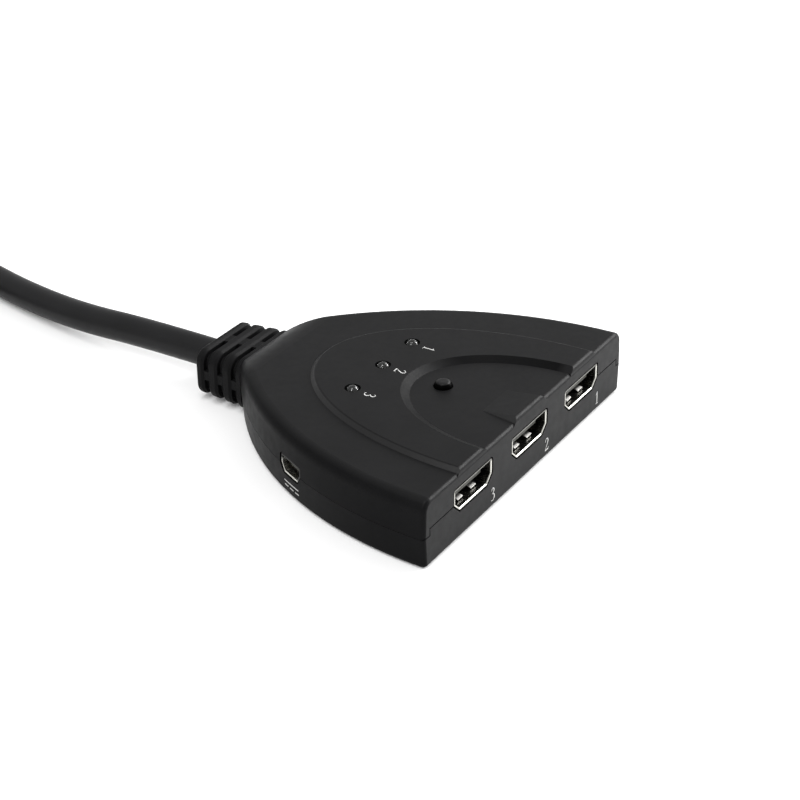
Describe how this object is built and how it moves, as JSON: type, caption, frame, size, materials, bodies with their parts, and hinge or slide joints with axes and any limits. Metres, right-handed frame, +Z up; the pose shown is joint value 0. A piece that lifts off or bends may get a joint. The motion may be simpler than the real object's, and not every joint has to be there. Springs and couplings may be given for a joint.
{
  "type": "video switch box",
  "caption": "Flat wedge-shaped video switch box: input sockets along its wide front, power socket in one side, select button and status lights on top, output lead that ends in a plug.",
  "frame": {"origin": "on the base plane, under the middle of the housing with its strain relief", "axes": "+Z up; the face with the input sockets looks to -Y; the lead leaves along +Y; the power socket is in the -X side"},
  "size_m": [0.1198, 0.2351, 0.018],
  "materials": {
    "housing_plastic": "fine satin, black",
    "button_plastic": "satin, black",
    "relief_rubber": "matt, black",
    "cable_jacket": "satin, black",
    "socket_metal": "bright nickel plate",
    "spring_metal": "bright spring strip",
    "socket_plastic": "matt, black",
    "contact_metal": "gold plate",
    "board_laminate": "solder mask, green",
    "chip_resin": "moulded resin",
    "lead_metal": "tinned",
    "capacitor_ceramic": "fired ceramic",
    "resistor_ceramic": "glazed ceramic",
    "wire_insulation": "smooth",
    "screw_steel": "zinc plate",
    "plug_plastic": "satin, black",
    "clear_lens": "clear epoxy"
  },
  "bodies": {
    "box": {"button_switch_base": "chip_resin", "button_switch_cover": "lead_metal", "button_switch_legs": "lead_metal", "cable_end": "cable_jacket", "cable_wires": "wire_insulation", "capacitors": "capacitor_ceramic", "case_screws": "screw_steel", "chip_leads": "lead_metal", "circuit_board": "board_laminate", "input_socket_contacts_1": "contact_metal", "input_socket_contacts_2": "contact_metal", "input_socket_contacts_3": "contact_metal", "input_socket_core_1": "socket_plastic", "input_socket_core_2": "socket_plastic", "input_socket_core_3": "socket_plastic", "input_socket_shell_1": "socket_metal", "input_socket_shell_2": "socket_metal", "input_socket_shell_3": "socket_metal", "light_leads": "lead_metal", "lower_housing": "housing_plastic", "output_cable": "cable_jacket", "output_cable_coil": "cable_jacket", "plug_body": "plug_plastic", "plug_contacts": "contact_metal", "plug_core": "socket_plastic", "plug_relief": "relief_rubber", "plug_shell": "socket_metal", "power_socket_contacts": "contact_metal", "power_socket_core": "socket_plastic", "power_socket_shell": "socket_metal", "regulator": "chip_resin", "resistors": "resistor_ceramic", "socket_leaf_springs": "spring_metal", "status_light_1": "clear_lens", "status_light_2": "clear_lens", "status_light_3": "clear_lens", "strain_relief": "relief_rubber", "switch_chip": "chip_resin", "upper_housing": "housing_plastic"},
    "button": {"select_button": "button_plastic", "button_switch_plunger": "socket_plastic"}
  },
  "joints": [
    {"name": "button_press", "type": "slide", "parent": "box", "child": "button", "axis": [0, 0, -1], "range_m": [0, 0.0004], "stiffness_N_per_m": 4000}
  ]
}
